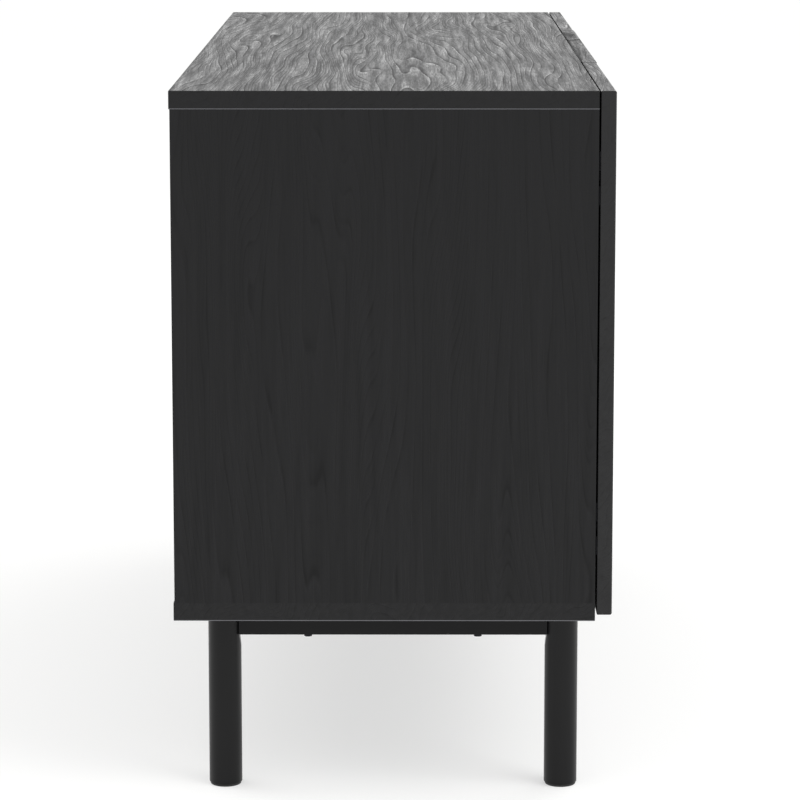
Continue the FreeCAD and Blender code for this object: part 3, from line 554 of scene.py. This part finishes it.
@dataclass(frozen=True)
class Hardware:
    """One size of small hardware, set out over points by a Geometry Nodes tree."""

    shape: Shape
    radius_mm: float
    height_mm: float
    finish: SpeckledFinish
    slot: str
    sides: int = 20
    # Shares of a head's radius: its flat face, and the length and width of its cross recess.
    face_share: float = 0.8
    recess_length: float = 1.15
    recess_width: float = 0.26
    # Share of a head's height that the recess is deep.
    recess_depth: float = 0.35

    def blank(self, tree: Tree, radius: Socket, height: Socket) -> Socket:
        """Makes one piece, standing on the origin and pointing up Z; a ball is centred there.

        Args:
            tree: The geometry tree.
            radius: The radius in metres.
            height: The height above the surface in metres.

        Returns:
            The piece's geometry.
        """
        if self.shape is Shape.BALL:
            inputs = {"Radius": radius, "Subdivisions": 2}
            return add_node(tree, "GeometryNodeMeshIcoSphere", inputs=inputs).outputs["Mesh"]
        if self.shape is Shape.BUMPER:
            inputs = {"Radius": 1.0, "Segments": self.sides, "Rings": self.sides // 2}
            dome = add_node(tree, "GeometryNodeMeshUVSphere", inputs=inputs).outputs["Mesh"]
            inputs = {"X": radius, "Y": radius, "Z": height}
            size = add_node(tree, "ShaderNodeCombineXYZ", inputs=inputs).outputs[0]
            inputs = {"Geometry": dome, "Scale": size}
            return add_node(tree, "GeometryNodeTransform", inputs=inputs).outputs[0]
        face = add_node(tree, MATH, TIMES, {0: radius, 1: self.face_share}).outputs[0]
        inputs = {"Radius Top": face, "Radius Bottom": radius, "Depth": height, "Vertices": self.sides}
        head = add_node(tree, "GeometryNodeMeshCone", inputs=inputs).outputs["Mesh"]
        if self.shape is Shape.NAIL:
            return head
        long = add_node(tree, MATH, TIMES, {0: radius, 1: self.recess_length}).outputs[0]
        narrow = add_node(tree, MATH, TIMES, {0: radius, 1: self.recess_width}).outputs[0]
        deep = add_node(tree, MATH, TIMES, {0: height, 1: self.recess_depth * 2}).outputs[0]
        raised = add_node(tree, "ShaderNodeCombineXYZ", inputs={"Z": height}).outputs[0]
        recess = add_node(tree, "GeometryNodeMeshBoolean", {"operation": "DIFFERENCE", "solver": "EXACT"})
        tree.links.new(head, recess.inputs["Mesh 1"])
        for x, y in ((long, narrow), (narrow, long)):
            size = add_node(tree, "ShaderNodeCombineXYZ", inputs={"X": x, "Y": y, "Z": deep}).outputs[0]
            bar = add_node(tree, "GeometryNodeMeshCube", inputs={"Size": size}).outputs["Mesh"]
            inputs = {"Geometry": bar, "Translation": raised}
            bar = add_node(tree, "GeometryNodeTransform", inputs=inputs).outputs[0]
            tree.links.new(bar, recess.inputs["Mesh 2"])
        return recess.outputs["Mesh"]

    def tree(self) -> Tree:
        """Builds the tree that puts the piece on every point, turned the way its point faces.

        Returns:
            The tree, with inputs for the radius, the height, the seed and the material.
        """
        tree = bpy.data.node_groups.new(f"{self.shape.value}_set", "GeometryNodeTree")
        interface = tree.interface
        interface.new_socket("Geometry", in_out="INPUT", socket_type="NodeSocketGeometry")
        for name, kind in (("Radius", "Float"), ("Height", "Float"), ("Seed", "Int"), ("Finish", "Material")):
            interface.new_socket(name, in_out="INPUT", socket_type=f"NodeSocket{kind}")
        interface.new_socket("Geometry", in_out="OUTPUT", socket_type="NodeSocketGeometry")
        given = add_node(tree, "NodeGroupInput").outputs
        piece = self.blank(tree, given["Radius"], given["Height"])
        vector = {"data_type": "FLOAT_VECTOR"}
        facing = add_node(tree, "GeometryNodeInputNamedAttribute", vector, {"Name": "facing"})
        inputs = {"Vector": facing.outputs["Attribute"]}
        turned = add_node(tree, "FunctionNodeAlignRotationToVector", {"axis": "Z"}, inputs).outputs[0]
        inputs = {"Max": math.pi, "Seed": given["Seed"]}
        spin = add_node(tree, "FunctionNodeRandomValue", {"data_type": "FLOAT"}, inputs).outputs["Value"]
        spin = add_node(tree, "ShaderNodeCombineXYZ", inputs={"Z": spin}).outputs[0]
        inputs = {"Rotation": turned, "Rotate By": spin}
        turned = add_node(tree, "FunctionNodeRotateRotation", {"rotation_space": "LOCAL"}, inputs).outputs[0]
        inputs = {"Points": given["Geometry"], "Instance": piece, "Rotation": turned}
        spread = add_node(tree, "GeometryNodeInstanceOnPoints", inputs=inputs).outputs[0]
        real = add_node(tree, "GeometryNodeRealizeInstances", inputs={"Geometry": spread}).outputs[0]
        smooth = self.shape in (Shape.BALL, Shape.BUMPER)
        inputs = {"Geometry": real, "Shade Smooth": smooth}
        shaded = add_node(tree, "GeometryNodeSetShadeSmooth", inputs=inputs).outputs[0]
        inputs = {"Geometry": shaded, "Material": given["Finish"]}
        coated = add_node(tree, "GeometryNodeSetMaterial", inputs=inputs).outputs[0]
        add_node(tree, "NodeGroupOutput", inputs={"Geometry": coated})
        return tree

    def set_out(self, name: str, body: str, spots: list[Spot]) -> None:
        """Makes one mesh of pieces for one body.

        Args:
            name: The new piece's name.
            body: The body that it rides on.
            spots: Where each piece stands, and the way it faces.
        """
        mesh = bpy.data.meshes.new(f"{name}_points")
        mesh.from_pydata([tuple(spot) for spot, _ in spots], [], [])
        facing = mesh.attributes.new("facing", "FLOAT_VECTOR", "POINT")
        facing.data.foreach_set("vector", [value for _, way in spots for value in way])
        points = bpy.data.objects.new(f"{name}_points", mesh)
        bpy.context.scene.collection.objects.link(points)
        modifier = points.modifiers.new("set_out", "NODES")
        modifier.node_group = self.tree()
        values = {
            "Radius": self.radius_mm * MM,
            "Height": self.height_mm * MM,
            "Seed": SEED,
            "Finish": PALETTE.get(self.finish),
        }
        for item in modifier.node_group.interface.items_tree:
            if item.in_out == "INPUT" and item.name in values:
                modifier[item.identifier] = values[item.name]
        graph = bpy.context.evaluated_depsgraph_get()
        made = bpy.data.meshes.new_from_object(points.evaluated_get(graph))
        points.modifiers.remove(modifier)
        bpy.data.objects.remove(points)
        hand_over(name, made, body)


def hand_over(name: str, mesh: bpy.types.Mesh, body: str, replaced: tuple[str, ...] = ()) -> None:
    """Places a finished mesh in the scene on its body, hiding the CAD nodes that it stands for.

    Args:
        name: The piece's name.
        mesh: Its mesh, in place.
        body: The body that it rides on.
        replaced: CAD nodes that it stands for.
    """
    mesh.name = name
    piece = bpy.data.objects.new(name, mesh)
    bpy.context.scene.collection.objects.link(piece)
    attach(piece, body)
    if replaced:
        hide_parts(*replaced)
    LOG.info("%s: %d faces on %s", name, len(mesh.polygons), body)


def way_of(side: str) -> float:
    """-1 for the left end and 1 for the right one."""
    return -1.0 if side == "left" else 1.0


@dataclass
class SlideBearings:
    """The balls that run in a drawer's cages, and the screws that hold its slides to the box."""

    ball_pitch_mm: float = 10.5
    ball_end_mm: float = 5.0
    steel_mm: float = 1.2
    # Places along a slide's length.
    screw_shares: tuple[float, ...] = (0.12, 0.5, 0.88)
    ball: Hardware = Hardware(Shape.BALL, 2.05, 2.05, BALL_FINISH, "cage_steel")
    screw: Hardware = Hardware(Shape.SCREW, 3.2, 1.3, PLATED_FINISH, "plated_steel")

    def balls(self, number: int) -> None:
        """Sets the balls in both flanges of both of a drawer's cages.

        Args:
            number: The drawer, counted from the floor.
        """
        low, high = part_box(f"drawer_{number}_ball_cages")
        middle = abs(low.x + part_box(f"drawer_{number}_left_side")[0].x) / 2
        end, half = self.ball_end_mm * MM, self.steel_mm * MM / 2
        room = high.y - low.y - 2 * end
        steps = int(room / (self.ball_pitch_mm * MM))
        spots = []
        for way in (-1.0, 1.0):
            for level in (low.z + half, high.z - half):
                for index in range(steps + 1):
                    place = Vector((way * middle, low.y + end + room * index / steps, level))
                    spots.append((place, Vector((way, 0, 0))))
        self.ball.set_out(f"drawer_{number}_balls", f"drawer_{number}_cages", spots)

    def screws(self, number: int) -> None:
        """Sets the screws along both slides of a drawer.

        Args:
            number: The drawer, counted from the floor.
        """
        low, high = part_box(f"drawer_{number}_slides")
        web = abs(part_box(f"drawer_{number}_left_side")[0].x) + self.steel_mm * MM
        level = (low.z + high.z) / 2
        spots = [
            (Vector((way * web, low.y + share * (high.y - low.y), level)), Vector((way, 0, 0)))
            for way in (-1.0, 1.0)
            for share in self.screw_shares
        ]
        self.screw.set_out(f"drawer_{number}_slide_screws", f"drawer_{number}", spots)

    def build(self) -> None:
        """Makes the balls and the screws of every drawer."""
        for number in DRAWERS:
            self.balls(number)
            self.screws(number)


@dataclass
class HingeScrews:
    """The screws of the hinges, the catches and the strike plates, at both ends.

    A spread is the distance of two screws from the middle between them.
    """

    flange_half_mm: float = 26.0
    cup_spread_mm: float = 22.0
    plate_steel_mm: float = 3.0
    plate_spread_mm: float = 17.0
    catch_spread_mm: float = 12.0
    # Places along a hinge's arm, from its back end.
    plate_share: float = 0.34
    adjuster_shares: tuple[float, ...] = (0.18, 0.36)
    cup_screw: Hardware = Hardware(Shape.SCREW, 3.2, 0.7, HINGE_FINISH, "plated_steel")
    adjuster: Hardware = Hardware(Shape.SCREW, 3.4, 1.4, HINGE_FINISH, "plated_steel")
    plate_screw: Hardware = Hardware(Shape.SCREW, 3.2, 0.9, HINGE_FINISH, "plated_steel")
    catch_screw: Hardware = Hardware(Shape.SCREW, 2.6, 1.0, PLATED_FINISH, "plated_steel")
    strike_screw: Hardware = Hardware(Shape.SCREW, 3.0, 0.35, PLATED_FINISH, "plated_steel")

    def levels(self, side: str) -> list[float]:
        """Finds the heights of the two hinges at one end.

        Args:
            side: The end, left or right.

        Returns:
            The lower and the upper hinge's height.
        """
        low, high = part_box(f"{side}_hinge_cups")
        half = self.flange_half_mm * MM
        return [low.z + half, high.z - half]

    def on_door(self, side: str) -> None:
        """Sets the screws that turn with a door: two in each cup's flange, one in the strike plate.

        Args:
            side: The door's end, left or right.
        """
        low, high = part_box(f"{side}_hinge_cups")
        spread = self.cup_spread_mm * MM
        spots = [
            (Vector(((low.x + high.x) / 2, high.y, level + way * spread)), Vector((0, 1, 0)))
            for level in self.levels(side)
            for way in (-1, 1)
        ]
        self.cup_screw.set_out(f"{side}_cup_screws", f"{side}_door", spots)
        low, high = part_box(f"{side}_strike_plate")
        middle = (low + high) / 2
        spots = [(Vector((middle.x, high.y, middle.z)), Vector((0, 1, 0)))]
        self.strike_screw.set_out(f"{side}_strike_screw", f"{side}_door", spots)

    def on_arms(self) -> None:
        """Sets the screws of the hinges' arms, which adjust the doors, and of their plates."""
        adjusters, plates = [], []
        for side in SIDES:
            inwards = -way_of(side)
            low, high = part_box(f"{side}_hinge_arms")
            wall, proud = (low.x, high.x) if side == "left" else (high.x, low.x)
            plate = wall + inwards * self.plate_steel_mm * MM
            length = high.y - low.y
            facing = Vector((inwards, 0, 0))
            for level in self.levels(side):
                for share in self.adjuster_shares:
                    adjusters.append((Vector((proud, high.y - share * length, level)), facing))
                for way in (-1, 1):
                    height = level + way * self.plate_spread_mm * MM
                    plates.append((Vector((plate, high.y - self.plate_share * length, height)), facing))
        self.adjuster.set_out("hinge_arm_screws", "case", adjusters)
        self.plate_screw.set_out("hinge_plate_screws", "case", plates)

    def on_catches(self) -> None:
        """Sets the two screws of each magnetic catch."""
        low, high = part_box("catch_magnets")
        middle = (low + high) / 2
        spread = self.catch_spread_mm * MM
        spots = [
            (Vector((way * high.x, middle.y, middle.z + step * spread)), Vector((way, 0, 0)))
            for way in (-1.0, 1.0)
            for step in (-1, 1)
        ]
        self.catch_screw.set_out("catch_screws", "case", spots)

    def build(self) -> None:
        """Makes every screw."""
        for side in SIDES:
            self.on_door(side)
        self.on_arms()
        self.on_catches()


@dataclass
class BackNails:
    """The nails round the back board and down its two dividers."""

    pitch_mm: float = 92.0
    inset_mm: float = 5.0
    nail: Hardware = Hardware(Shape.NAIL, 2.4, 0.7, ZINC_FINISH, "plated_steel")

    def row(self, start: float, end: float) -> list[float]:
        """Spaces nails evenly, the first and the last at the two ends.

        Args:
            start: One end in metres.
            end: The other end.

        Returns:
            Each nail's place.
        """
        count = max(2, round(abs(end - start) / (self.pitch_mm * MM)))
        return [start + (end - start) * index / count for index in range(count + 1)]

    def build(self) -> None:
        """Makes the nails."""
        low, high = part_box("back_panel")
        inset = self.inset_mm * MM
        left, right, floor, top = low.x + inset, high.x - inset, low.z + inset, high.z - inset
        places = [(x, z) for x in self.row(left, right) for z in (floor, top)]
        places += [(x, z) for z in self.row(floor, top)[1:-1] for x in (left, right)]
        for side in SIDES:
            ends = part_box(f"{side}_divider")
            middle = (ends[0].x + ends[1].x) / 2
            places += [(middle, z) for z in self.row(floor, top)[1:-1]]
        spots = [(Vector((x, high.y, z)), Vector((0, 1, 0))) for x, z in places]
        self.nail.set_out("back_nails", "case", spots)


@dataclass
class Bumpers:
    """The rubber dots that soften the closing of the doors and the drawers."""

    inset_mm: float = 4.2
    end_mm: float = 30.0
    bumper: Hardware = Hardware(Shape.BUMPER, 3.0, 1.2, BUMPER_FINISH, "catch_plastic")

    def on_front(self, node: str, body: str, outwards: float) -> None:
        """Sets two dots by each of a front's upright edges that closes over a divider.

        Args:
            node: The front.
            body: The body that it rides on.
            outwards: 1 where the front lies beyond the divider's middle, -1 where it lies within.
        """
        low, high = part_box(node)
        edges = [x for x in (low.x, high.x) if abs(x) < abs(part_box("left_divider")[0].x)]
        inset, end = outwards * self.inset_mm * MM, self.end_mm * MM
        spots = [
            (Vector((x + inset * math.copysign(1, x), high.y, z)), Vector((0, 1, 0)))
            for x in edges
            for z in (low.z + end, high.z - end)
        ]
        self.bumper.set_out(f"{body}_bumpers", body, spots)

    def build(self) -> None:
        """Makes the dots on the backs of all the fronts."""
        for side in SIDES:
            self.on_front(f"{side}_door", f"{side}_door", 1.0)
        for number in DRAWERS:
            self.on_front(f"drawer_{number}_front", f"drawer_{number}", -1.0)


@dataclass
class Glides:
    """The domed plastic glides nailed under the legs."""

    ring_count: int = 56
    # Shares of the glide's radius: the depth, the floor and the rim of the dimple round its nail.
    dimple_shares: tuple[float, float, float] = (0.05, 0.16, 0.21)
    edge_mm: float = 1.2
    edge_steps: int = 4

    def profile(self, radius: float, height: float) -> list[tuple[float, float]]:
        """Draws the half outline from the dimple underneath, round the edge and up to the leg.

        Args:
            radius: The glide's radius in metres.
            height: Its height.

        Returns:
            Distances from the axis, each with its height above the floor.
        """
        edge = self.edge_mm * MM
        deep, floor, rim = (share * radius for share in self.dimple_shares)
        points = [(0.0, deep), (floor, deep), (rim, 0.0)]
        for step in range(self.edge_steps + 1):
            turn = math.pi / 2 * step / self.edge_steps
            points.append((radius - edge + edge * math.sin(turn), edge - edge * math.cos(turn)))
        return points + [(radius, height), (0.0, height)]

    def turn_one(self, shape: bmesh.types.BMesh, centre: Vector, outline: list[tuple[float, float]]) -> None:
        """Turns one closed glide about its leg's axis.

        Args:
            shape: The mesh that it is added to.
            centre: A point on the axis at the floor.
            outline: Its half outline.
        """
        rings = []
        for reach, rise in outline:
            count = self.ring_count if reach else 1
            turns = [math.tau * step / count for step in range(count)]
            places = [Vector((math.cos(turn) * reach, math.sin(turn) * reach, rise)) for turn in turns]
            rings.append([shape.verts.new(centre + place) for place in places])
        for under, over in zip(rings, rings[1:]):
            for step in range(self.ring_count):
                around = ((under, step), (under, step + 1), (over, step + 1), (over, step))
                corners = [ring[turn % len(ring)] for ring, turn in around]
                shape.faces.new(list(dict.fromkeys(corners)))

    def build(self) -> None:
        """Makes the four glides as one mesh."""
        shape = bmesh.new()
        low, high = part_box("glides")
        for side in SIDES:
            for end in ("front", "back"):
                leg_low, leg_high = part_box(f"{end}_{side}_leg")
                axis = (leg_low + leg_high) / 2
                outermost = high.x if side == "right" else low.x
                outline = self.profile(abs(outermost - axis.x), high.z - low.z)
                self.turn_one(shape, Vector((axis.x, axis.y, low.z)), outline)
        bmesh.ops.recalc_face_normals(shape, faces=shape.faces)
        mesh = bpy.data.meshes.new("glide_set")
        shape.to_mesh(mesh)
        shape.free()
        mesh.shade_smooth()
        mesh.materials.append(PALETTE.get(GLIDE_FINISH))
        hand_over("domed_glides", mesh, "case", ("glides",))


@dataclass(frozen=True)
class Lamp:
    """A square soft lamp aimed at the middle of the object."""

    name: str
    place: tuple[float, float, float]
    size: float
    power: float


@dataclass
class Studio:
    """The camera, the floor and the light. Lengths are in metres and the lamps' power in watts."""

    distance: float = 3.186
    height: float = 0.9795
    towards_front: float = 0.0152
    lens_mm: float = 150.0
    sensor_mm: float = 36.0
    shift_y: float = -0.10
    aim_height: float = 0.483
    aim_towards_front: float = 0.0072
    furthest: float = 200.0
    floor_size: float = 60.0
    floor_colour: str = "#bcbcbb"
    floor_roughness: float = 0.9
    floor_glow: float = 0.5
    surround: float = 1.0
    lamp_aim_height: float = 0.4
    lamps: tuple[Lamp, ...] = (
        Lamp("key", (-2.2, -3.0, 3.2), 3.0, 90.0),
        Lamp("fill", (3.0, -2.2, 2.2), 2.6, 30.0),
        Lamp("back", (1.0, 3.2, 2.6), 2.6, 30.0),
    )

    def aim(self, thing: bpy.types.Object, place: Vector, target: Vector) -> None:
        """Stands the camera or a lamp in the scene and turns it to its target.

        Args:
            thing: The camera or the lamp.
            place: Where it stands.
            target: What it looks at.
        """
        bpy.context.scene.collection.objects.link(thing)
        thing.location = place
        thing.rotation_mode = "QUATERNION"
        thing.rotation_quaternion = (target - place).to_track_quat("-Z", "Y")

    def camera(self) -> None:
        """Puts the camera beyond the left end, a little above the top, and aims it at that end."""
        low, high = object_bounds()
        middle = (low.y + high.y) / 2
        data = bpy.data.cameras.new("camera")
        data.sensor_width = self.sensor_mm
        data.lens = self.lens_mm
        data.shift_y = self.shift_y
        data.clip_end = self.furthest
        camera = bpy.data.objects.new("camera", data)
        place = Vector((low.x - self.distance, middle - self.towards_front, self.height))
        target = Vector((low.x, middle - self.aim_towards_front, self.aim_height))
        self.aim(camera, place, target)
        bpy.context.scene.camera = camera

    def floor(self) -> None:
        """Makes the plain pale floor."""
        mesh = bpy.data.meshes.new("floor")
        half = self.floor_size / 2
        corners = [(-half, -half, 0), (half, -half, 0), (half, half, 0), (-half, half, 0)]
        mesh.from_pydata(corners, [], [(0, 1, 2, 3)])
        floor = bpy.data.objects.new("floor", mesh)
        bpy.context.scene.collection.objects.link(floor)
        material, shader = new_material("pale_studio_floor", self.floor_roughness)
        shader.inputs["Base Color"].default_value = linear(self.floor_colour)
        shader.inputs["Specular IOR Level"].default_value = 0.0
        shader.inputs["Emission Color"].default_value = (1, 1, 1, 1)
        shader.inputs["Emission Strength"].default_value = self.floor_glow
        mesh.materials.append(material)
        floor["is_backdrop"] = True

    def light(self) -> None:
        """Sets an even white surround and the soft lamps."""
        scene = bpy.context.scene
        scene.view_settings.view_transform = "Standard"
        world = bpy.data.worlds.new("studio")
        scene.world = world
        world.use_nodes = True
        ground = world.node_tree.nodes["Background"]
        ground.inputs["Color"].default_value = (1, 1, 1, 1)
        ground.inputs["Strength"].default_value = self.surround
        target = Vector((0, 0, self.lamp_aim_height))
        for lamp in self.lamps:
            data = bpy.data.lights.new(lamp.name, "AREA")
            data.size = lamp.size
            data.energy = lamp.power
            self.aim(bpy.data.objects.new(lamp.name, data), Vector(lamp.place), target)

    def build(self) -> None:
        """Makes the whole studio."""
        self.camera()
        self.floor()
        self.light()


def main() -> None:
    """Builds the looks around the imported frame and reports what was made."""
    logging.basicConfig(level=logging.INFO, format="%(name)s: %(message)s")
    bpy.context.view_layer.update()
    Studio().build()
    LOG.info("dressed %d CAD nodes", dress_frame())
    for assembly in (SlideBearings(), HingeScrews(), BackNails(), Bumpers(), Glides()):
        assembly.build()


if __name__ == "__main__":
    main()
